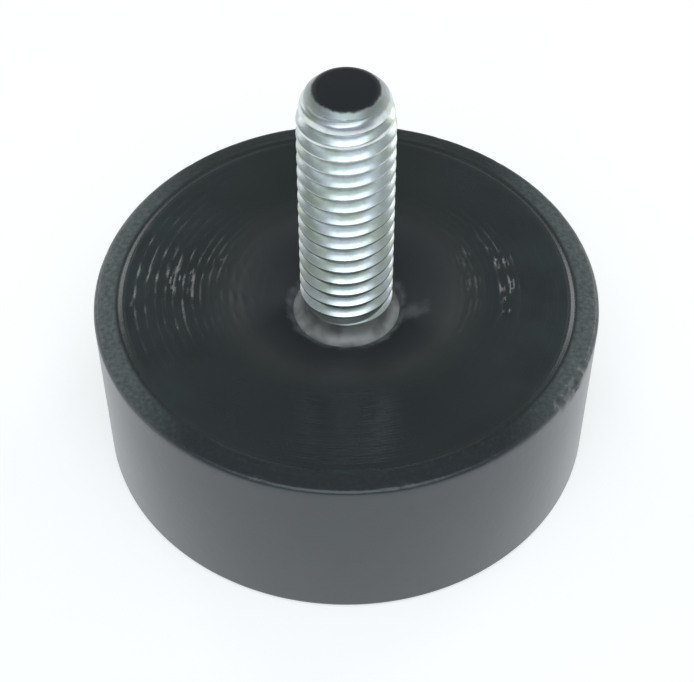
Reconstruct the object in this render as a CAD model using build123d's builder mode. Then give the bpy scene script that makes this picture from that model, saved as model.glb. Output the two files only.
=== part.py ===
"""Anti-vibration mount: a moulded rubber foot with one threaded stud.

Three pieces make it. A round steel backing plate lies just under the top face of a thick rubber disc
and is bonded into it on all sides. A threaded steel stud passes through the middle of the plate: its
flat head sits under the plate and its foot is swaged over the plate's top. The mould's locating nose
leaves a shallow dimple in the rubber round the stud, with the swaged foot bare at the bottom of it.
The thread is rings of its true pitch, depth and angle, in place of its helix.

Units are millimetres. The origin is the centre of the rubber body's flat underside, and +Z runs up
the stud.
"""

import math
import os

from build123d import *

# ---------------------------------------------------------------- driving dimensions

# Rubber body
body_diameter = 50.8
body_height = 19.05
rim_edge_radius = 0.5
foot_edge_radius = 0.6

# Mould line: the fine round-bottomed groove between the rim band and the top face
rim_band_width = 2.4
mould_line_width = 0.5
mould_line_depth = 0.22

# Rubber over the plate. It slopes down to the stud in a dimple and ends there in a thin lip
skin_thickness = 2.7
dimple_width = 6.5
dimple_shoulder_radius = 7.0
lip_thickness = 0.3
lip_clearance = 0.1

# Backing plate, and the rubber between its edge and the body's side
plate_thickness = 3.0
plate_edge_chamfer = 0.5
plate_edge_cover = 3.4

# Stud above the plate, with a 3/8 in thread of 16 turns to the inch
thread_diameter = 9.3
thread_pitch = 25.4 / 16
thread_angle = 60
crest_share_of_pitch = 1 / 8
depth_share_of_pitch = 0.6134
stud_projection = 26.1
tip_taper_length = 2.4
tip_taper_depth = 0.45
tip_cone_length = 1.2
tip_cone_depth = 1.1
tip_edge_radius = 0.6
neck_length = 2.3
neck_relief = 0.35
swaged_foot_overlap = 0.45

# Stud in the plate and under it
shank_shoulder = 0.3
head_thickness = 2.6
head_overhang = 2.5
head_edge_chamfer = 0.4

# ---------------------------------------------------------------- places and derived sizes

body_radius = body_diameter / 2
plate_radius = body_radius - plate_edge_cover
thread_radius = thread_diameter / 2
tip_cone_radius = thread_radius - tip_taper_depth
end_face_radius = tip_cone_radius - tip_cone_depth
neck_radius = thread_radius - neck_relief
shank_radius = thread_radius + shank_shoulder
swaged_foot_radius = shank_radius + swaged_foot_overlap
swaged_foot_flare = swaged_foot_radius - neck_radius
head_radius = shank_radius + head_overhang
lip_radius = swaged_foot_radius + lip_clearance
dimple_radius = lip_radius + dimple_width
mould_line_outer = body_radius - rim_band_width
mould_line_inner = mould_line_outer - mould_line_width
mould_line_radius = (mould_line_outer + mould_line_inner) / 2

plate_top = body_height - skin_thickness
plate_bottom = plate_top - plate_thickness
head_bottom = plate_bottom - head_thickness
thread_start = plate_top + neck_length
stud_top = body_height + stud_projection
tip_cone_base = stud_top - tip_cone_length

# The thread's form: a narrow flat on each crest, straight flanks and a narrow flat at each root
thread_crest_width = crest_share_of_pitch * thread_pitch
thread_depth = depth_share_of_pitch * thread_pitch
groove_width = thread_pitch - thread_crest_width
groove_root_width = groove_width - 2 * thread_depth * math.tan(math.radians(thread_angle / 2))
root_radius = thread_radius - thread_depth
groove_count = int((tip_cone_base - tip_edge_radius - thread_start) / thread_pitch)
first_groove = thread_start + thread_crest_width + groove_width / 2

# ---------------------------------------------------------------- rubber body

# One revolved section. It holds the cavity that the plate and the stud's head fill, so the rubber
# meets the steel face to face.
with BuildPart() as rubber_body:
    with BuildSketch(Plane.XZ) as rubber_section:
        with BuildLine():
            Polyline(
                (mould_line_inner, body_height),
                (dimple_radius, body_height),
                (lip_radius, plate_top + lip_thickness),
                (lip_radius, plate_top),
                (plate_radius - plate_edge_chamfer, plate_top),
                (plate_radius, plate_top - plate_edge_chamfer),
                (plate_radius, plate_bottom + plate_edge_chamfer),
                (plate_radius - plate_edge_chamfer, plate_bottom),
                (head_radius, plate_bottom),
                (head_radius, head_bottom + head_edge_chamfer),
                (head_radius - head_edge_chamfer, head_bottom),
                (0, head_bottom),
                (0, 0),
                (body_radius, 0),
                (body_radius, body_height),
                (mould_line_outer, body_height),
            )
            ThreePointArc(
                (mould_line_outer, body_height),
                (mould_line_radius, body_height - mould_line_depth),
                (mould_line_inner, body_height),
            )
        make_face()
        section_corners = rubber_section.vertices()
        fillet(section_corners.sort_by_distance((dimple_radius, body_height))[0], dimple_shoulder_radius)
        fillet(section_corners.sort_by_distance((body_radius, body_height))[0], rim_edge_radius)
        fillet(section_corners.sort_by_distance((body_radius, 0))[0], foot_edge_radius)
    revolve(axis=Axis.Z)

# ---------------------------------------------------------------- backing plate

with BuildPart() as backing_plate:
    with BuildSketch(Plane.XY.offset(plate_bottom)):
        Circle(plate_radius)
        Circle(shank_radius, mode=Mode.SUBTRACT)
    extrude(amount=plate_thickness)
    outer_rims = backing_plate.edges().filter_by(GeomType.CIRCLE).group_by(SortBy.RADIUS)[-1]
    chamfer(outer_rims, length=plate_edge_chamfer)

# ---------------------------------------------------------------- threaded stud

# Turned in one section: head, shank, swaged foot, plain neck, the cylinder over the thread's crests,
# the tip's gentle taper and its short cone. The thread's grooves are then turned into it
with BuildPart() as threaded_stud:
    with BuildSketch(Plane.XZ) as stud_section:
        with BuildLine():
            Polyline(
                (neck_radius, plate_top + swaged_foot_flare),
                (neck_radius, thread_start - neck_relief),
                (thread_radius, thread_start),
                (thread_radius, tip_cone_base - tip_taper_length),
                (tip_cone_radius, tip_cone_base),
                (end_face_radius, stud_top),
                (0, stud_top),
                (0, head_bottom),
                (head_radius - head_edge_chamfer, head_bottom),
                (head_radius, head_bottom + head_edge_chamfer),
                (head_radius, plate_bottom),
                (shank_radius, plate_bottom),
                (shank_radius, plate_top),
                (swaged_foot_radius, plate_top),
            )
            RadiusArc(
                (swaged_foot_radius, plate_top),
                (neck_radius, plate_top + swaged_foot_flare),
                -swaged_foot_flare,
            )
        make_face()
        section_corners = stud_section.vertices()
        fillet(section_corners.sort_by_distance((tip_cone_radius, tip_cone_base))[0], tip_edge_radius)
        fillet(section_corners.sort_by_distance((end_face_radius, stud_top))[0], tip_edge_radius)
    revolve(axis=Axis.Z)
    with BuildSketch(Plane.XZ):
        with Locations(*[(0, first_groove + turn * thread_pitch) for turn in range(groove_count)]):
            Polygon(
                (root_radius, -groove_root_width / 2),
                (thread_radius, -groove_width / 2),
                (thread_radius + thread_depth, -groove_width / 2),
                (thread_radius + thread_depth, groove_width / 2),
                (thread_radius, groove_width / 2),
                (root_radius, groove_root_width / 2),
                align=None,
            )
    revolve(axis=Axis.Z, mode=Mode.SUBTRACT)

# ---------------------------------------------------------------- labels and files

rubber_body.part.label = "rubber_body"
backing_plate.part.label = "backing_plate"
threaded_stud.part.label = "threaded_stud"

os.makedirs("parts", exist_ok=True)
export_step(rubber_body.part, "parts/rubber_body.step")
export_step(backing_plate.part, "parts/backing_plate.step")
export_step(threaded_stud.part, "parts/threaded_stud.step")
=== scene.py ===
import math
import random

import bpy
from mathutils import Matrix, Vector, noise


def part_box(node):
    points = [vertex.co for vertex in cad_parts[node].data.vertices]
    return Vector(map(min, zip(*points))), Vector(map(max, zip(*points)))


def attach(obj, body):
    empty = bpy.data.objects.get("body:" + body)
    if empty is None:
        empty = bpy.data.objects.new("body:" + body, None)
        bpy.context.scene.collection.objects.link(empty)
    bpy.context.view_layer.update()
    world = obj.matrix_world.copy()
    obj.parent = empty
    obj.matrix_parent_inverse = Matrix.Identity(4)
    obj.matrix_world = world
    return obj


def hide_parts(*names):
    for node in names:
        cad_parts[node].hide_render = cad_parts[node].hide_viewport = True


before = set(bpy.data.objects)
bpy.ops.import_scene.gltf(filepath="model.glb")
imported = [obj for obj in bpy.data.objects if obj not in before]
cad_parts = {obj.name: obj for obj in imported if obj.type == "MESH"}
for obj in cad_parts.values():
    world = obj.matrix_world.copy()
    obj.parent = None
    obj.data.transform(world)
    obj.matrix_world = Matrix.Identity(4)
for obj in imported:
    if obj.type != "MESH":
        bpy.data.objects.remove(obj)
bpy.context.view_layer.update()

# The anti-vibration mount's looks. The rubber body, the stud and the plate's finish are made here, round
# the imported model. Outlines and patterns are in millimetres, and Blender's own units are metres.
MM = 0.001

# ------------------------------------------------------------------ sizes


def box_in_mm(node):
    """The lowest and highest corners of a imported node, in millimetres."""
    low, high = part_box(node)
    return Vector(low) / MM, Vector(high) / MM


body_high = box_in_mm("rubber_body")[1]
plate_low, plate_high = box_in_mm("backing_plate")
stud_low, stud_high = box_in_mm("threaded_stud")

BODY_RADIUS = body_high.x
BODY_TOP = body_high.z
PLATE_RADIUS = plate_high.x
PLATE_TOP = plate_high.z
PLATE_BOTTOM = plate_low.z
HEAD_RADIUS = stud_high.x
HEAD_BOTTOM = stud_low.z
STUD_TOP = stud_high.z

# Rubber
RIM_EDGE = 0.5
FOOT_EDGE = 0.6
RIM_FALL = 0.15
MOULD_LINE_OUTER = BODY_RADIUS - 2.4
MOULD_LINE_WIDTH = 0.5
MOULD_LINE_INNER = MOULD_LINE_OUTER - MOULD_LINE_WIDTH
MOULD_LINE_DEPTH = 0.14
BAND_DROP = 0.06
LIP_RADIUS = 5.5
LIP_THICKNESS = 0.3
DIMPLE_RADIUS = LIP_RADIUS + 6.5
DIMPLE_SHOULDER = 7.0
DIMPLE_FOOT_RADIUS = LIP_RADIUS + 0.2
DIMPLE_FOOT_HEIGHT = PLATE_TOP + LIP_THICKNESS
DIMPLE_ANGLE = math.atan2(BODY_TOP - DIMPLE_FOOT_HEIGHT, DIMPLE_RADIUS - DIMPLE_FOOT_RADIUS)
SHOULDER_REACH = DIMPLE_SHOULDER * math.tan(DIMPLE_ANGLE / 2)
DIMPLE_START = DIMPLE_RADIUS + SHOULDER_REACH
PLATE_CHAMFER = 0.5

# Nicks and wear on the rim reach this far below the top
RIM_WEAR_DEPTH = 1.2

# Turning marks: where they start and end, and where they are deepest
MARKS_START = MOULD_LINE_INNER - 1.0
MARKS_END = 7.6
LEFT_MARKS_AT = math.radians(174)
RIGHT_MARKS_AT = math.radians(8)
RIGHT_MARK_GROUPS = (12.9, 16.4)
MARK_GROUP_REACH = 1.6
TURNING_LINE_SPACING = 0.34

# Stud
HEAD_OVERHANG = 2.5
SHANK_SHOULDER = 0.3
THREAD_RADIUS = HEAD_RADIUS - HEAD_OVERHANG - SHANK_SHOULDER
PITCH = 25.4 / 16
THREAD_HEIGHT = 0.6134 * PITCH
ROOT_RADIUS = THREAD_RADIUS - THREAD_HEIGHT
CREST_HALF = PITCH / 16
CREST_ROUNDING = 0.05
ROOT_ROUNDING = 0.2
FLANK_SLOPE = math.tan(math.radians(30))
ROOT_HALF = PITCH / 2 - CREST_HALF - THREAD_HEIGHT * FLANK_SLOPE
THREAD_START = PLATE_TOP + 2.3
NECK_RELIEF = 0.35
NECK_RADIUS = THREAD_RADIUS - NECK_RELIEF
NECK_TOP = THREAD_START - NECK_RELIEF
SHANK_RADIUS = THREAD_RADIUS + SHANK_SHOULDER
FOOT_RADIUS = SHANK_RADIUS + 0.45
TIP_TAPER_LENGTH = 2.4
TIP_TAPER_DEPTH = 0.45
TIP_CONE_RADIUS = THREAD_RADIUS - TIP_TAPER_DEPTH
TIP_CONE_LENGTH = 1.2
TIP_EDGE = 1.2
TIP_SHOULDER = 2.0
TIP_CUT = STUD_TOP - 0.5
END_FACE_RADIUS = TIP_CONE_RADIUS - 1.1
HEAD_CHAMFER = 0.4

# How finely the round pieces are made
BODY_STEPS = 480
THREAD_STEPS = 120
CUT_TOLERANCE = 0.0005 * MM

# ------------------------------------------------------------------ modelling


def rounded(corners, steps=5):
    """The outline through corners of (radius, height, rounding), with an arc at each rounded corner."""
    outline = [corners[0][:2]]
    for before, corner, after in zip(corners, corners[1:], corners[2:]):
        here = Vector(corner[:2])
        rounding = corner[2]
        if not rounding:
            outline.append(tuple(here))
            continue
        back = (Vector(before[:2]) - here).normalized()
        ahead = (Vector(after[:2]) - here).normalized()
        half_angle = back.angle(ahead) / 2
        centre = here + (back + ahead).normalized() * rounding / math.sin(half_angle)
        reach = rounding / math.tan(half_angle)
        first = here + back * reach - centre
        last = here + ahead * reach - centre
        for step in range(steps + 1):
            spoke = first.lerp(last, step / steps).normalized() * rounding
            outline.append(tuple(centre + spoke))
    outline.append(corners[-1][:2])
    return outline


def draw_outline(name, outline):
    """An outline of (radius, height) points in the XZ plane, drawn by extruding one point along it."""
    bpy.ops.object.select_all(action="DESELECT")
    bpy.ops.mesh.primitive_plane_add(size=MM)
    piece = bpy.context.object
    piece.name = name
    bpy.ops.object.mode_set(mode="EDIT")
    bpy.ops.mesh.merge(type="CENTER")
    radius, height = outline[0]
    bpy.ops.transform.translate(value=(radius * MM, 0, height * MM))
    for (r0, z0), (r1, z1) in zip(outline, outline[1:]):
        move = {"value": ((r1 - r0) * MM, 0, (z1 - z0) * MM)}
        bpy.ops.mesh.extrude_region_move(TRANSFORM_OT_translate=move)
    return piece


def turn(name, outline, steps):
    """A closed piece turned from an outline whose ends are on the axis."""
    piece = draw_outline(name, outline)
    bpy.ops.mesh.select_all(action="SELECT")
    bpy.ops.mesh.spin(steps=steps, angle=2 * math.pi, center=(0, 0, 0), axis=(0, 0, 1))
    bpy.ops.mesh.select_all(action="SELECT")
    bpy.ops.mesh.remove_doubles(threshold=0.002 * MM)
    bpy.ops.mesh.normals_make_consistent(inside=False)
    bpy.ops.object.mode_set(mode="OBJECT")
    return piece


def finish_piece(piece, node, material, smooth_angle):
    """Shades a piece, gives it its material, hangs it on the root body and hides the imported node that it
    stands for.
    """
    bpy.ops.object.select_all(action="DESELECT")
    piece.select_set(True)
    bpy.context.view_layer.objects.active = piece
    bpy.ops.object.shade_smooth_by_angle(angle=math.radians(smooth_angle))
    piece.data.materials.clear()
    piece.data.materials.append(material)
    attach(piece, "root")
    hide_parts(node)


# ------------------------------------------------------------------ rubber body


def face_height(radius):
    """The height of the unmarked top: flat, then over the dimple's shoulder and down its slope."""
    inward = DIMPLE_START - radius
    if inward <= 0:
        return BODY_TOP
    if inward < DIMPLE_SHOULDER * math.sin(DIMPLE_ANGLE):
        return BODY_TOP - DIMPLE_SHOULDER + math.sqrt(DIMPLE_SHOULDER**2 - inward**2)
    return BODY_TOP - (DIMPLE_RADIUS - radius) * math.tan(DIMPLE_ANGLE)


def turned_mark_places(draw):
    """Places, widths and depths of the turning marks that the mould's face left in the rubber."""
    marks = []
    radius = MARKS_START
    while radius > MARKS_END:
        width = draw.uniform(0.6, 0.85)
        marks.append((radius, width, width * draw.uniform(0.16, 0.22)))
        radius -= width + draw.uniform(0.1, 0.35)
    return marks


def rubber_outline(marks):
    """The body's section, from the middle of its underside, round the outside and into the cavity."""
    rim_top = BODY_TOP - BAND_DROP
    side = [(BODY_RADIUS, BODY_TOP - depth, 0) for depth in (4.0, 2.0, 1.3)]
    band = [
        (BODY_RADIUS - inward, rim_top - share * RIM_FALL, 0)
        for inward, share in ((0.8, 0.62), (1.1, 0.4), (1.4, 0.24), (1.7, 0.12), (2.0, 0.04))
    ]
    outside = rounded(
        [
            (0, 0, 0),
            (BODY_RADIUS, 0, FOOT_EDGE),
            *side,
            (BODY_RADIUS, rim_top - RIM_FALL, RIM_EDGE),
            *band,
            (MOULD_LINE_OUTER, rim_top, 0),
        ]
    )
    mould_line = [
        (MOULD_LINE_OUTER - 0.08, BODY_TOP - MOULD_LINE_DEPTH),
        (MOULD_LINE_INNER + 0.12, BODY_TOP - 0.04),
        (MOULD_LINE_INNER, BODY_TOP),
    ]
    face = []
    for radius, width, depth in marks:
        for across, share in ((0.5, 0), (0.25, 0.7), (0, 1), (-0.25, 0.7), (-0.5, 0)):
            place = radius + across * width
            face.append((place, face_height(place) - share * depth))
    lip = rounded(
        [
            (face[-1][0] - 0.3, face_height(face[-1][0] - 0.3), 0),
            (DIMPLE_FOOT_RADIUS, DIMPLE_FOOT_HEIGHT, 0.3),
            (FOOT_RADIUS + 0.02, PLATE_TOP + 0.02, 0),
            (FOOT_RADIUS + 0.02, PLATE_TOP, 0),
        ]
    )
    cavity = [
        (PLATE_RADIUS - PLATE_CHAMFER, PLATE_TOP),
        (PLATE_RADIUS, PLATE_TOP - PLATE_CHAMFER),
        (PLATE_RADIUS, PLATE_BOTTOM + PLATE_CHAMFER),
        (PLATE_RADIUS - PLATE_CHAMFER, PLATE_BOTTOM),
        (HEAD_RADIUS, PLATE_BOTTOM),
        (HEAD_RADIUS, HEAD_BOTTOM + HEAD_CHAMFER),
        (HEAD_RADIUS - HEAD_CHAMFER, HEAD_BOTTOM),
        (0, HEAD_BOTTOM),
    ]
    return outside + mould_line + face + lip + cavity


def rim_nicks(draw):
    """Places, sizes and depths of the rim's nicks: a worn stretch in front of the right, and a few more."""
    nicks = []
    for first, last, count, deepest in ((-38, -17, 12, 0.4), (-170, 170, 14, 0.12)):
        for _ in range(count):
            angle = math.radians(draw.uniform(first, last))
            size = draw.uniform(0.3, 0.8)
            place = Vector((math.cos(angle), math.sin(angle))) * BODY_RADIUS
            nicks.append((place, size, deepest * size))
    return nicks


def mark_strength(x, y):
    """How deep the turning marks are at a place: short broken arcs, deepest on the left and the right."""
    radius = math.hypot(x, y)
    angle = math.atan2(y, x)
    left = max(math.cos(angle - LEFT_MARKS_AT), 0) ** 10 * min((radius - 5) / 8, 1)
    right = max(math.cos(angle - RIGHT_MARKS_AT), 0) ** 10
    right *= max(1 - abs(radius - place) / MARK_GROUP_REACH for place in RIGHT_MARK_GROUPS)
    patch = 0.7 + 0.8 * noise.noise(Vector((x / 3.0, y / 3.0, 8)))
    along = math.atan2(x, y) * radius
    broken = 0.6 + 1.7 * noise.noise(Vector((along / 1.5, radius * 1.4, 3)))
    even = 0.12 * min(max((radius - 10) / 4, 0.2), 1)
    share = (even + left + 2 * max(right, 0)) * patch * min(broken, 1)
    return min(max(share, 0), 1)


def make_rubber_body():
    """Turns the rubber body, breaks its marks into arcs, fades its mould line and wears its rim."""
    draw = random.Random(11)
    body = turn("rubber_body_moulded", rubber_outline(turned_mark_places(draw)), BODY_STEPS)
    nicks = rim_nicks(draw)
    for vertex in body.data.vertices:
        x, y, z = vertex.co / MM
        radius = math.hypot(x, y)
        depth = BODY_TOP - z
        if z > DIMPLE_FOOT_HEIGHT and MARKS_END - 0.5 < radius < MOULD_LINE_INNER - 0.2:
            whole = face_height(radius)
            vertex.co.z = (whole - (whole - z) * mark_strength(x, y)) * MM
        elif z > DIMPLE_FOOT_HEIGHT and abs(radius - MOULD_LINE_OUTER) < MOULD_LINE_WIDTH + 0.05:
            vertex.co.z = (BODY_TOP - depth * (0.4 + 0.6 * (x / radius) ** 2)) * MM
        elif radius > MOULD_LINE_OUTER + 0.2 and depth < RIM_WEAR_DEPTH:
            fall = 0.05 * max(noise.noise(Vector((x / 1.4, y / 1.4, 5))), 0)
            for place, size, nick_depth in nicks:
                away = (Vector((x, y)) - place).length / size
                fall += nick_depth * max(1 - away * away, 0)
            fall *= 1 - depth / RIM_WEAR_DEPTH
            inward = 1 - 0.6 * fall / radius
            vertex.co = Vector((x * inward, y * inward, z - fall)) * MM
    return body


# ------------------------------------------------------------------ threaded stud


def thread_outline():
    """One pitch of the thread, from the middle of one crest to the middle of the next."""
    flank = [
        (THREAD_RADIUS - share * THREAD_HEIGHT, CREST_HALF + share * THREAD_HEIGHT * FLANK_SLOPE, 0)
        for share in (0.2, 0.35, 0.5, 0.65, 0.8)
    ]
    corners = [
        (THREAD_RADIUS, 0, 0),
        (THREAD_RADIUS, CREST_HALF, CREST_ROUNDING),
        *flank,
        (ROOT_RADIUS, PITCH / 2 - ROOT_HALF, ROOT_ROUNDING),
        (ROOT_RADIUS, PITCH / 2, 0),
    ]
    up = rounded(corners, steps=3)
    down = [(radius, PITCH - rise) for radius, rise in reversed(up[:-1])]
    return up + down


def radius_at(outline, height):
    """The radius of an outline at a height, between its two nearest points."""
    for (r0, z0), (r1, z1) in zip(outline, outline[1:]):
        if z0 <= height < z1:
            return r0 + (r1 - r0) * (height - z0) / (z1 - z0)
    return outline[0][0] if height < outline[0][1] else outline[-1][0]


def extrude_ring(radius_from, radius_to, height_from, height_to):
    """Carries the selected ring of edges on to a new radius and height."""
    move = {"value": (0, 0, (height_to - height_from) * MM)}
    bpy.ops.mesh.extrude_region_move(TRANSFORM_OT_translate=move)
    share = radius_to / radius_from
    bpy.ops.transform.resize(value=(share, share, 1), center_override=(0, 0, height_to * MM))


def select_ring(piece, height):
    """Selects the vertices that lie at a height, in edit mode."""
    bpy.ops.mesh.select_mode(type="VERT")
    bpy.ops.mesh.select_all(action="DESELECT")
    bpy.ops.object.mode_set(mode="OBJECT")
    for vertex in piece.data.vertices:
        vertex.select = abs(vertex.co.z / MM - height) < 0.001
    bpy.ops.object.mode_set(mode="EDIT")


def carry_ring_along(piece, outline):
    """Extrudes the open ring at an outline's first point along the outline, and closes it at the end."""
    select_ring(piece, outline[0][1])
    for (r0, z0), (r1, z1) in zip(outline, outline[1:]):
        extrude_ring(r0, r1, z0, z1)
    bpy.ops.mesh.merge(type="CENTER")


def roll_thread(name):
    """A bare thread with a turn or two to spare at both ends."""
    below = 2
    base = THREAD_START - below * PITCH
    stud = draw_outline(name, [(radius, base + rise) for radius, rise in thread_outline()])
    bpy.ops.object.mode_set(mode="OBJECT")
    screw = stud.modifiers.new("thread", "SCREW")
    screw.axis = "Z"
    screw.angle = 2 * math.pi
    screw.screw_offset = PITCH * MM
    screw.iterations = math.ceil((STUD_TOP - THREAD_START) / PITCH) + below + 1
    screw.steps = THREAD_STEPS
    screw.render_steps = THREAD_STEPS
    screw.use_merge_vertices = True
    screw.merge_threshold = 0.001 * MM
    bpy.ops.object.modifier_apply(modifier=screw.name)
    return stud


def make_stud():
    """Rolls the thread, runs it out into the neck and the tip, and draws the two ends out of it."""
    stud = roll_thread("stud_threaded")
    tip = [
        (THREAD_RADIUS, STUD_TOP - TIP_CONE_LENGTH - TIP_TAPER_LENGTH, 0),
        (TIP_CONE_RADIUS, STUD_TOP - TIP_CONE_LENGTH, TIP_SHOULDER),
        (END_FACE_RADIUS, STUD_TOP, 0),
    ]
    crest_limit = [(NECK_RADIUS, NECK_TOP), (THREAD_RADIUS, THREAD_START), *rounded(tip, steps=8)]
    root_limit = [
        (NECK_RADIUS, NECK_TOP),
        (NECK_RADIUS, THREAD_START),
        (ROOT_RADIUS, THREAD_START + 1.1 * PITCH),
    ]
    for vertex in stud.data.vertices:
        x, y, z = vertex.co / MM
        radius = math.hypot(x, y)
        wanted = min(max(radius, radius_at(root_limit, z)), radius_at(crest_limit, z))
        vertex.co.x *= wanted / radius
        vertex.co.y *= wanted / radius

    bpy.ops.object.mode_set(mode="EDIT")
    for height, above in ((NECK_TOP, False), (TIP_CUT, True)):
        bpy.ops.mesh.select_all(action="SELECT")
        bpy.ops.mesh.bisect(
            plane_co=(0, 0, height * MM),
            plane_no=(0, 0, 1),
            clear_outer=above,
            clear_inner=not above,
            threshold=CUT_TOLERANCE,
        )
    cone_slope = (TIP_CONE_RADIUS - END_FACE_RADIUS) / TIP_CONE_LENGTH
    end = [
        (END_FACE_RADIUS + cone_slope * (STUD_TOP - TIP_CUT), TIP_CUT, 0),
        (END_FACE_RADIUS, STUD_TOP, TIP_EDGE),
        (0.4, STUD_TOP, 0),
    ]
    carry_ring_along(stud, rounded(end))
    flare = FOOT_RADIUS - NECK_RADIUS
    foot = [
        (FOOT_RADIUS - flare * math.sin(a), PLATE_TOP + flare * (1 - math.cos(a)))
        for a in (math.pi / 2 * step / 8 for step in range(8, -1, -1))
    ]
    below_foot = [
        (SHANK_RADIUS, PLATE_TOP),
        (SHANK_RADIUS, PLATE_BOTTOM),
        (HEAD_RADIUS, PLATE_BOTTOM),
        (HEAD_RADIUS, HEAD_BOTTOM + HEAD_CHAMFER),
        (HEAD_RADIUS - HEAD_CHAMFER, HEAD_BOTTOM),
        (0.5, HEAD_BOTTOM),
    ]
    carry_ring_along(stud, [(NECK_RADIUS, NECK_TOP), *foot, *below_foot])
    bpy.ops.mesh.select_all(action="SELECT")
    bpy.ops.mesh.remove_doubles(threshold=0.0005 * MM)
    bpy.ops.mesh.normals_make_consistent(inside=False)
    bpy.ops.object.mode_set(mode="OBJECT")
    return stud


# ------------------------------------------------------------------ materials


def colour(hex_code):
    """The linear colour of an sRGB hex code."""
    parts = [int(hex_code[i : i + 2], 16) / 255 for i in (1, 3, 5)]
    linear = [c / 12.92 if c <= 0.04045 else ((c + 0.055) / 1.055) ** 2.4 for c in parts]
    return (*linear, 1)


def add_node(tree, kind, inputs=None, **settings):
    """Adds a node. inputs gives a value, a node or a socket for each input, by its name or number."""
    node = tree.nodes.new(kind)
    for name, value in settings.items():
        setattr(node, name, value)
    for name, value in (inputs or {}).items():
        if isinstance(name, str):
            socket = next(s for s in node.inputs if s.enabled and s.name == name)
        else:
            socket = node.inputs[name]
        if isinstance(value, bpy.types.Node):
            value = next(s for s in value.outputs if s.enabled)
        if isinstance(value, bpy.types.NodeSocket):
            tree.links.new(value, socket)
        else:
            socket.default_value = value
    return node


def start_material(name):
    """An empty node material."""
    material = bpy.data.materials.new(name)
    material.use_nodes = True
    material.node_tree.nodes.clear()
    return material, material.node_tree


def place_on_piece(tree):
    """The place on the piece, its distance from the axis and its height, all in millimetres."""
    place = add_node(
        tree,
        "ShaderNodeVectorMath",
        {0: add_node(tree, "ShaderNodeTexCoord").outputs["Object"], 1: (1 / MM,) * 3},
        operation="MULTIPLY",
    )
    flat = add_node(tree, "ShaderNodeVectorMath", {0: place, 1: (1, 1, 0)}, operation="MULTIPLY")
    radius = add_node(tree, "ShaderNodeVectorMath", {0: flat}, operation="LENGTH")
    height = add_node(tree, "ShaderNodeSeparateXYZ", {0: place}).outputs["Z"]
    return place, radius, height


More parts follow.
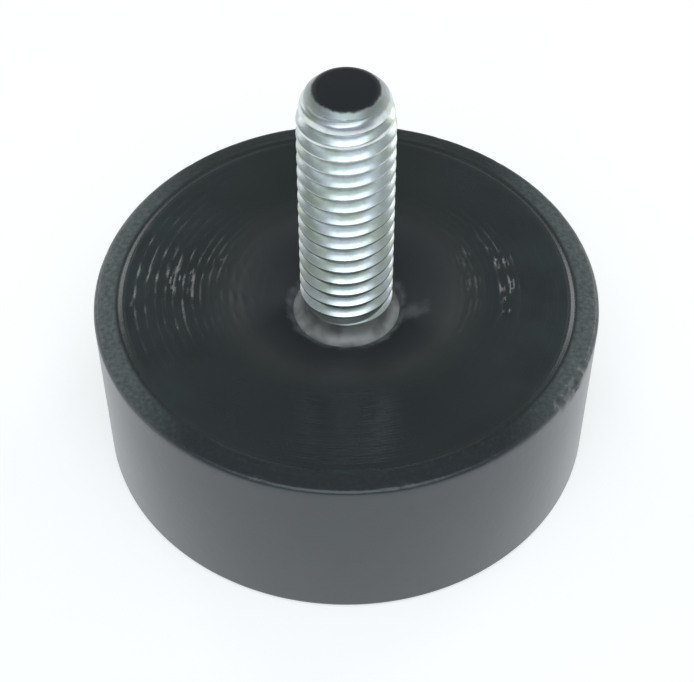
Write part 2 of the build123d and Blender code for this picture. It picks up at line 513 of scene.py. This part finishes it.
def moulded_black_rubber():
    """Carbon-black natural rubber, press moulded: a dark satin skin that copies the mould's turned face.

    The face is nearly black and smoothest in the middle, with a painted sheen: its colour lighter in patches
    towards the left and the right. The rim band is a little rougher from flash trimming, with a painted
    sheen of lighter colour towards its left and right. The side is a greyer satin. The dimple is dull, and
    coloured darker than the face as painted shade round the stud. Bonding cement has dried in a thin grey
    ring round the stud and in a smear to the right of it.
    """
    material, tree = start_material("moulded_black_rubber")
    place, radius, height = place_on_piece(tree)

    # Where the side, the rim band, the dimple and the top are, as shares from 0 to 1
    side = add_node(
        tree,
        "ShaderNodeMapRange",
        {"Value": radius, "From Min": BODY_RADIUS - 0.3, "From Max": BODY_RADIUS - 0.04},
        interpolation_type="SMOOTHSTEP",
    )
    band = add_node(
        tree,
        "ShaderNodeMapRange",
        {"Value": radius, "From Min": MOULD_LINE_OUTER, "From Max": MOULD_LINE_OUTER + 0.4},
        interpolation_type="SMOOTHSTEP",
    )
    dimple = add_node(
        tree,
        "ShaderNodeMapRange",
        {"Value": radius, "From Min": DIMPLE_START + 0.5, "From Max": DIMPLE_START - 6.0},
        interpolation_type="SMOOTHSTEP",
    )
    dimple_dull = add_node(
        tree,
        "ShaderNodeMapRange",
        {"Value": radius, "From Min": DIMPLE_START + 2.5, "From Max": DIMPLE_START - 4.0},
        interpolation_type="SMOOTHSTEP",
    )
    top = add_node(
        tree,
        "ShaderNodeMapRange",
        {"Value": height, "From Min": PLATE_TOP - 0.2, "From Max": PLATE_TOP},
        interpolation_type="SMOOTHSTEP",
    )

    # Blotches 6 mm across, trimming roughness 0.45 mm across and the skin's own grain, 0.9 mm across
    cloud = add_node(tree, "ShaderNodeTexNoise", {"Vector": place, "Scale": 1 / 6.0, "Detail": 3.0})
    grit = add_node(tree, "ShaderNodeTexNoise", {"Vector": place, "Scale": 1 / 0.45, "Detail": 3.0})
    skin = add_node(tree, "ShaderNodeTexNoise", {"Vector": place, "Scale": 1 / 0.9, "Detail": 3.0})
    rubbed = add_node(tree, "ShaderNodeMapRange", {"Value": grit, "From Min": 0.5, "From Max": 0.75})

    face_colour = add_node(
        tree,
        "ShaderNodeMix",
        {"Factor": cloud, "A": colour("#202526"), "B": colour("#2a2e2f")},
        data_type="RGBA",
    )
    band_colour = add_node(
        tree,
        "ShaderNodeMix",
        {"Factor": rubbed, "A": colour("#1f2627"), "B": colour("#2a3031")},
        data_type="RGBA",
    )
    across = add_node(tree, "ShaderNodeSeparateXYZ", {0: place}).outputs["X"]
    across = add_node(tree, "ShaderNodeMath", {0: across}, operation="ABSOLUTE")
    # Painted sheen on the rim band: its colour is lighter towards the left and the right, speckled by the
    # grit noise
    painted_band_sheen = add_node(
        tree,
        "ShaderNodeMapRange",
        {"Value": across, "From Min": 0.55 * BODY_RADIUS, "From Max": 0.9 * BODY_RADIUS},
        interpolation_type="SMOOTHSTEP",
    )
    painted_band_sheen = add_node(tree, "ShaderNodeMath", {0: painted_band_sheen, 1: grit}, operation="MULTIPLY")
    band_colour = add_node(
        tree, "ShaderNodeMix", {"Factor": painted_band_sheen, "A": band_colour, "B": colour("#6f7674")}, data_type="RGBA"
    )
    side_colour = add_node(
        tree,
        "ShaderNodeMix",
        {"Factor": cloud, "A": colour("#353b3f"), "B": colour("#3e4549")},
        data_type="RGBA",
    )
    # Painted sheen: the face's colour lighter in patches, towards its left and right
    painted_face_sheen = add_node(
        tree,
        "ShaderNodeMapRange",
        {"Value": across, "From Min": 0.3 * BODY_RADIUS, "From Max": 0.75 * BODY_RADIUS},
        interpolation_type="SMOOTHSTEP",
    )
    patches = add_node(tree, "ShaderNodeMapRange", {"Value": cloud, "From Min": 0.35, "From Max": 0.65})
    painted_face_sheen = add_node(tree, "ShaderNodeMath", {0: painted_face_sheen, 1: patches}, operation="MULTIPLY")
    face_colour = add_node(
        tree, "ShaderNodeMix", {"Factor": painted_face_sheen, "A": face_colour, "B": colour("#2d3435")}, data_type="RGBA"
    )
    # Painted shade: the dimple round the stud is coloured darker than the face
    skin_colour = add_node(
        tree,
        "ShaderNodeMix",
        {"Factor": dimple, "A": face_colour, "B": colour("#14191c")},
        data_type="RGBA",
    )
    skin_colour = add_node(
        tree, "ShaderNodeMix", {"Factor": band, "A": skin_colour, "B": band_colour}, data_type="RGBA"
    )
    skin_colour = add_node(
        tree, "ShaderNodeMix", {"Factor": side, "A": skin_colour, "B": side_colour}, data_type="RGBA"
    )

    # Dried cement: its edge wanders by about a millimetre, and it is thin enough to show the rubber
    ragged = add_node(tree, "ShaderNodeTexNoise", {"Vector": place, "Scale": 1 / 1.1, "Detail": 3.0})
    from_smear = add_node(
        tree, "ShaderNodeVectorMath", {0: place, 1: (-6.4, 1.3, 0)}, operation="ADD"
    )
    from_smear = add_node(
        tree, "ShaderNodeVectorMath", {0: from_smear, 1: (0.7, 1, 0)}, operation="MULTIPLY"
    )
    from_smear = add_node(tree, "ShaderNodeVectorMath", {0: from_smear}, operation="LENGTH")
    smear = add_node(
        tree,
        "ShaderNodeMapRange",
        {
            "Value": add_node(
                tree, "ShaderNodeMath", {0: ragged, 1: 2.0, 2: from_smear}, operation="MULTIPLY_ADD"
            ),
            "From Min": 2.7,
            "From Max": 1.0,
            "To Max": 0.45,
        },
        interpolation_type="SMOOTHSTEP",
    )
    ring = add_node(
        tree,
        "ShaderNodeMapRange",
        {
            "Value": add_node(
                tree, "ShaderNodeMath", {0: ragged, 1: 1.8, 2: radius}, operation="MULTIPLY_ADD"
            ),
            "From Min": LIP_RADIUS + 1.9,
            "From Max": LIP_RADIUS + 0.5,
            "To Max": 0.8,
        },
        interpolation_type="SMOOTHSTEP",
    )
    cement = add_node(tree, "ShaderNodeMath", {0: smear, 1: ring}, operation="MAXIMUM")
    cement = add_node(tree, "ShaderNodeMath", {0: cement, 1: top}, operation="MULTIPLY")
    base = add_node(
        tree,
        "ShaderNodeMix",
        {"Factor": cement, "A": skin_colour, "B": colour("#6d7071")},
        data_type="RGBA",
    )

    # Fine turning lines 0.34 mm apart, drawn a little coarser than the tool's feed so that they show
    line = add_node(
        tree, "ShaderNodeMath", {0: radius, 1: 2 * math.pi / TURNING_LINE_SPACING}, operation="MULTIPLY"
    )
    line = add_node(tree, "ShaderNodeMath", {0: line}, operation="SINE")
    line = add_node(tree, "ShaderNodeMath", {0: line, 1: skin}, operation="MULTIPLY")
    line = add_node(tree, "ShaderNodeMath", {0: line, 1: top}, operation="MULTIPLY")
    off_face = add_node(tree, "ShaderNodeMath", {0: band, 1: dimple_dull}, operation="MAXIMUM")
    on_face = add_node(tree, "ShaderNodeMath", {0: 1.0, 1: off_face}, operation="SUBTRACT")
    line = add_node(tree, "ShaderNodeMath", {0: line, 1: on_face}, operation="MULTIPLY")
    not_side = add_node(tree, "ShaderNodeMath", {0: 1.0, 1: side}, operation="SUBTRACT")
    rough_band = add_node(tree, "ShaderNodeMath", {0: grit, 1: band}, operation="MULTIPLY")
    rough_band = add_node(tree, "ShaderNodeMath", {0: rough_band, 1: not_side}, operation="MULTIPLY")
    bumps = add_node(tree, "ShaderNodeBump", {"Height": line, "Distance": 0.004 * MM})
    bumps = add_node(
        tree, "ShaderNodeBump", {"Height": rough_band, "Distance": 0.03 * MM, "Normal": bumps}
    )
    bumps = add_node(tree, "ShaderNodeBump", {"Height": skin, "Distance": 0.012 * MM, "Normal": bumps})

    roughness = add_node(
        tree,
        "ShaderNodeMapRange",
        {
            "Value": across,
            "From Min": 0.1 * BODY_RADIUS,
            "From Max": 0.4 * BODY_RADIUS,
            "To Min": 0.15,
            "To Max": 0.27,
        },
        interpolation_type="SMOOTHSTEP",
    )
    for share, value in ((dimple_dull, 0.62), (band, 0.34), (side, 0.28), (cement, 0.75)):
        roughness = add_node(tree, "ShaderNodeMix", {"Factor": share, "A": roughness, "B": value})
    shader = add_node(
        tree,
        "ShaderNodeBsdfPrincipled",
        {
            "Base Color": base,
            "Roughness": roughness,
            "IOR": 1.65,
            "Normal": bumps,
            "Sheen Weight": 0.12,
            "Sheen Roughness": 0.3,
        },
    )
    add_node(tree, "ShaderNodeOutputMaterial", {"Surface": shader})
    return material


def zinc_plated_steel():
    """Cold-rolled steel thread, barrel zinc plated and clear passivated: bright, soft and faintly tinted.

    The roots are coloured darker, most near the rubber: painted shade in the thread's hollows. The neck and
    the swaged foot are dull from the bonding cement, and the end face is near black, with traces down the
    tip's cone.
    """
    material, tree = start_material("zinc_plated_steel")
    place, radius, height = place_on_piece(tree)

    # Tint 2.6 mm across, and the plate's own frosting, 0.5 mm across
    cloud = add_node(tree, "ShaderNodeTexNoise", {"Vector": place, "Scale": 1 / 2.6, "Detail": 2.0})
    frost = add_node(tree, "ShaderNodeTexNoise", {"Vector": place, "Scale": 1 / 0.5, "Detail": 3.0})
    tint = add_node(
        tree,
        "ShaderNodeMapRange",
        {"Value": cloud, "From Min": 0.38, "From Max": 0.62},
        interpolation_type="SMOOTHSTEP",
    )
    base = add_node(
        tree,
        "ShaderNodeMix",
        {"Factor": tint, "A": colour("#e2e9ed"), "B": colour("#d4ddd5")},
        data_type="RGBA",
    )
    frosted = add_node(
        tree,
        "ShaderNodeMapRange",
        {"Value": frost, "From Min": 0.45, "From Max": 0.75, "To Max": 0.3},
    )
    base = add_node(
        tree, "ShaderNodeMix", {"Factor": frosted, "A": base, "B": colour("#aab1b0")}, data_type="RGBA"
    )

    # Painted shade in the thread's roots: a darker colour there, thinning out up the stud
    in_root = add_node(
        tree,
        "ShaderNodeMapRange",
        {
            "Value": radius,
            "From Min": THREAD_RADIUS - 0.67 * THREAD_HEIGHT,
            "From Max": THREAD_RADIUS - 0.82 * THREAD_HEIGHT,
        },
        interpolation_type="SMOOTHSTEP",
    )
    low_down = add_node(
        tree,
        "ShaderNodeMapRange",
        {
            "Value": height,
            "From Min": THREAD_START,
            "From Max": THREAD_START + 12,
            "To Min": 1.0,
            "To Max": 0.25,
        },
    )
    painted_root_shade = add_node(tree, "ShaderNodeMath", {0: in_root, 1: low_down}, operation="MULTIPLY")
    base = add_node(
        tree, "ShaderNodeMix", {"Factor": painted_root_shade, "A": base, "B": colour("#333736")}, data_type="RGBA"
    )

    # The neck and the swaged foot
    dull = add_node(
        tree,
        "ShaderNodeMapRange",
        {"Value": height, "From Min": THREAD_START + 0.15, "From Max": NECK_TOP + 0.05},
        interpolation_type="SMOOTHSTEP",
    )
    mottled = add_node(
        tree,
        "ShaderNodeMix",
        {"Factor": tint, "A": colour("#767674"), "B": colour("#9c9c9a")},
        data_type="RGBA",
    )
    base = add_node(tree, "ShaderNodeMix", {"Factor": dull, "A": base, "B": mottled}, data_type="RGBA")

    # Near black all over the end face, and broken up over the cone
    black_edge = add_node(
        tree, "ShaderNodeMath", {0: frost, 1: 0.35, 2: radius}, operation="MULTIPLY_ADD"
    )
    face_black = add_node(
        tree,
        "ShaderNodeMapRange",
        {"Value": black_edge, "From Min": END_FACE_RADIUS + 0.45, "From Max": END_FACE_RADIUS + 0.1},
        interpolation_type="SMOOTHSTEP",
    )
    cone_black = add_node(
        tree,
        "ShaderNodeMapRange",
        {
            "Value": black_edge,
            "From Min": TIP_CONE_RADIUS + 0.1,
            "From Max": TIP_CONE_RADIUS - 0.7,
            "To Max": 0.3,
        },
        interpolation_type="SMOOTHSTEP",
    )
    at_tip = add_node(
        tree,
        "ShaderNodeMapRange",
        {
            "Value": height,
            "From Min": STUD_TOP - TIP_CONE_LENGTH - 0.4,
            "From Max": STUD_TOP - TIP_CONE_LENGTH + 0.1,
        },
    )
    dark_tip = add_node(tree, "ShaderNodeMath", {0: face_black, 1: cone_black}, operation="MAXIMUM")
    dark_tip = add_node(tree, "ShaderNodeMath", {0: dark_tip, 1: at_tip}, operation="MULTIPLY")
    base = add_node(
        tree, "ShaderNodeMix", {"Factor": dark_tip, "A": base, "B": colour("#15191c")}, data_type="RGBA"
    )

    roughness = add_node(tree, "ShaderNodeMapRange", {"Value": frost, "To Min": 0.26, "To Max": 0.36})
    metallic = add_node(tree, "ShaderNodeMapRange", {"Value": dark_tip, "To Min": 1.0, "To Max": 0.0})
    for share, value in ((painted_root_shade, 0.5), (dull, 0.62), (dark_tip, 0.5)):
        roughness = add_node(tree, "ShaderNodeMix", {"Factor": share, "A": roughness, "B": value})
    metallic = add_node(tree, "ShaderNodeMix", {"Factor": dull, "A": metallic, "B": 0.45})
    bumps = add_node(tree, "ShaderNodeBump", {"Height": frost, "Distance": 0.008 * MM})
    shader = add_node(
        tree,
        "ShaderNodeBsdfPrincipled",
        {"Base Color": base, "Roughness": roughness, "Metallic": metallic, "Normal": bumps},
    )
    add_node(tree, "ShaderNodeOutputMaterial", {"Surface": shader})
    return material


def primed_mild_steel():
    """Mild steel sheet under a dark grey bonding primer, sprayed: a fine dull orange peel."""
    material, tree = start_material("primed_mild_steel")
    place = place_on_piece(tree)[0]
    cloud = add_node(tree, "ShaderNodeTexNoise", {"Vector": place, "Scale": 1 / 5.0})
    peel = add_node(tree, "ShaderNodeTexNoise", {"Vector": place, "Scale": 1 / 0.4, "Detail": 4.0})
    base = add_node(
        tree,
        "ShaderNodeMix",
        {"Factor": cloud, "A": colour("#444548"), "B": colour("#505154")},
        data_type="RGBA",
    )
    bumps = add_node(tree, "ShaderNodeBump", {"Height": peel, "Distance": 0.02 * MM})
    shader = add_node(
        tree, "ShaderNodeBsdfPrincipled", {"Base Color": base, "Roughness": 0.55, "Normal": bumps}
    )
    add_node(tree, "ShaderNodeOutputMaterial", {"Surface": shader})
    return material


# ------------------------------------------------------------------ floor, lights and camera


def seen_rays(tree):
    """1 for a ray that shows the background to the camera, to gloss or through glass, and 0 for others."""
    rays = add_node(tree, "ShaderNodeLightPath").outputs
    pair = {0: rays["Is Camera Ray"], 1: rays["Is Glossy Ray"]}
    pair = add_node(tree, "ShaderNodeMath", pair, operation="ADD")
    three = {0: pair, 1: rays["Is Transmission Ray"]}
    return add_node(tree, "ShaderNodeMath", three, operation="ADD", use_clamp=True)


def make_floor():
    """A wide pale floor, which keeps the mount's shadow."""
    bpy.ops.object.select_all(action="DESELECT")
    bpy.ops.mesh.primitive_circle_add(vertices=64, radius=2.5, fill_type="NGON", location=(0, 0, -0.02 * MM))
    floor = bpy.context.object
    floor.name = "floor"
    material, tree = start_material("pale_floor")
    glow = add_node(tree, "ShaderNodeMath", {0: seen_rays(tree), 1: 0.57}, operation="MULTIPLY")
    shader = add_node(
        tree,
        "ShaderNodeBsdfPrincipled",
        {
            "Base Color": colour("#d0cfce"),
            "Roughness": 0.9,
            "Specular IOR Level": 0.0,
            "Emission Color": (1, 1, 1, 1),
            "Emission Strength": glow,
        },
    )
    add_node(tree, "ShaderNodeOutputMaterial", {"Surface": shader})
    floor.data.materials.append(material)


def add_softbox(name, place, width, depth, radiance, tint="#ffffff"):
    """A softbox that faces the mount. Its place and size are in metres, and radiance 1 is white."""
    light = bpy.data.lights.new(name, "AREA")
    light.color = colour(tint)[:3]
    light.shape = "RECTANGLE"
    light.size = width
    light.size_y = depth
    light.energy = radiance * math.pi * width * depth
    lamp = bpy.data.objects.new(name, light)
    bpy.context.scene.collection.objects.link(lamp)
    lamp.location = place
    lamp.rotation_euler = (-Vector(place)).to_track_quat("-Z", "Y").to_euler()


def make_room():
    """A room that is white low down, with a cool grey ceiling, darker at the back, and a dark front.

    The camera itself sees plain white.
    """
    world = bpy.data.worlds.new("room")
    bpy.context.scene.world = world
    world.use_nodes = True
    tree = world.node_tree
    tree.nodes.clear()
    direction = add_node(tree, "ShaderNodeTexCoord").outputs["Generated"]
    parts = add_node(tree, "ShaderNodeSeparateXYZ", {0: direction}).outputs
    ceiling = add_node(
        tree,
        "ShaderNodeMapRange",
        {"Value": parts["Z"], "From Min": 0.1, "From Max": 0.4},
        interpolation_type="SMOOTHSTEP",
    )
    back = add_node(
        tree,
        "ShaderNodeMapRange",
        {"Value": parts["Y"], "From Min": 0.0, "From Max": 0.5},
        interpolation_type="SMOOTHSTEP",
    )
    grey = add_node(
        tree,
        "ShaderNodeMix",
        {"Factor": back, "A": colour("#9da3a3"), "B": colour("#757c7c")},
        data_type="RGBA",
    )
    front = add_node(
        tree,
        "ShaderNodeMapRange",
        {"Value": parts["Y"], "From Min": -0.25, "From Max": -0.7},
        interpolation_type="SMOOTHSTEP",
    )
    light = add_node(
        tree, "ShaderNodeMix", {"Factor": ceiling, "A": (1, 1, 1, 1), "B": grey}, data_type="RGBA"
    )
    light = add_node(
        tree,
        "ShaderNodeMix",
        {"Factor": front, "A": light, "B": colour("#6a7073")},
        data_type="RGBA",
    )
    camera_ray = add_node(tree, "ShaderNodeLightPath").outputs["Is Camera Ray"]
    light = add_node(
        tree,
        "ShaderNodeMix",
        {"Factor": camera_ray, "A": light, "B": (1, 1, 1, 1)},
        data_type="RGBA",
    )
    background = add_node(tree, "ShaderNodeBackground", {"Color": light, "Strength": 1.0})
    add_node(tree, "ShaderNodeOutputWorld", {"Surface": background})


def make_lights():
    """A wide softbox high in front, and a small one behind each shoulder."""
    add_softbox("front_softbox", (0.0, -0.46, 0.71), 0.80, 0.86, 2.05, "#eaf6ff")
    add_softbox("right_softbox", (0.50, 0.51, 0.46), 0.28, 0.28, 3.0)
    add_softbox("left_softbox", (-0.41, 0.60, 0.45), 0.24, 0.24, 2.8)


def make_camera():
    """A camera about 18 cm off, looking down at the mount at 48 degrees."""
    data = bpy.data.cameras.new("camera")
    camera = bpy.data.objects.new("camera", data)
    bpy.context.scene.collection.objects.link(camera)
    data.sensor_width = 36
    data.lens = 87.9
    camera.location = Vector((-1.6, -117.05, 143.35)) * MM
    aim = Vector((0.06, 0, 11.14)) * MM
    camera.rotation_euler = (aim - camera.location).to_track_quat("-Z", "Y").to_euler()
    data.clip_start = 0.01
    data.clip_end = 20
    bpy.context.scene.camera = camera


# ------------------------------------------------------------------ the scene

make_camera()
make_room()
make_lights()
make_floor()

finish_piece(make_rubber_body(), "rubber_body", moulded_black_rubber(), 30)
finish_piece(make_stud(), "threaded_stud", zinc_plated_steel(), 35)

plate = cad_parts["backing_plate"]
plate.data.materials.clear()
plate.data.materials.append(primed_mild_steel())

bpy.context.scene.view_settings.view_transform = "Standard"
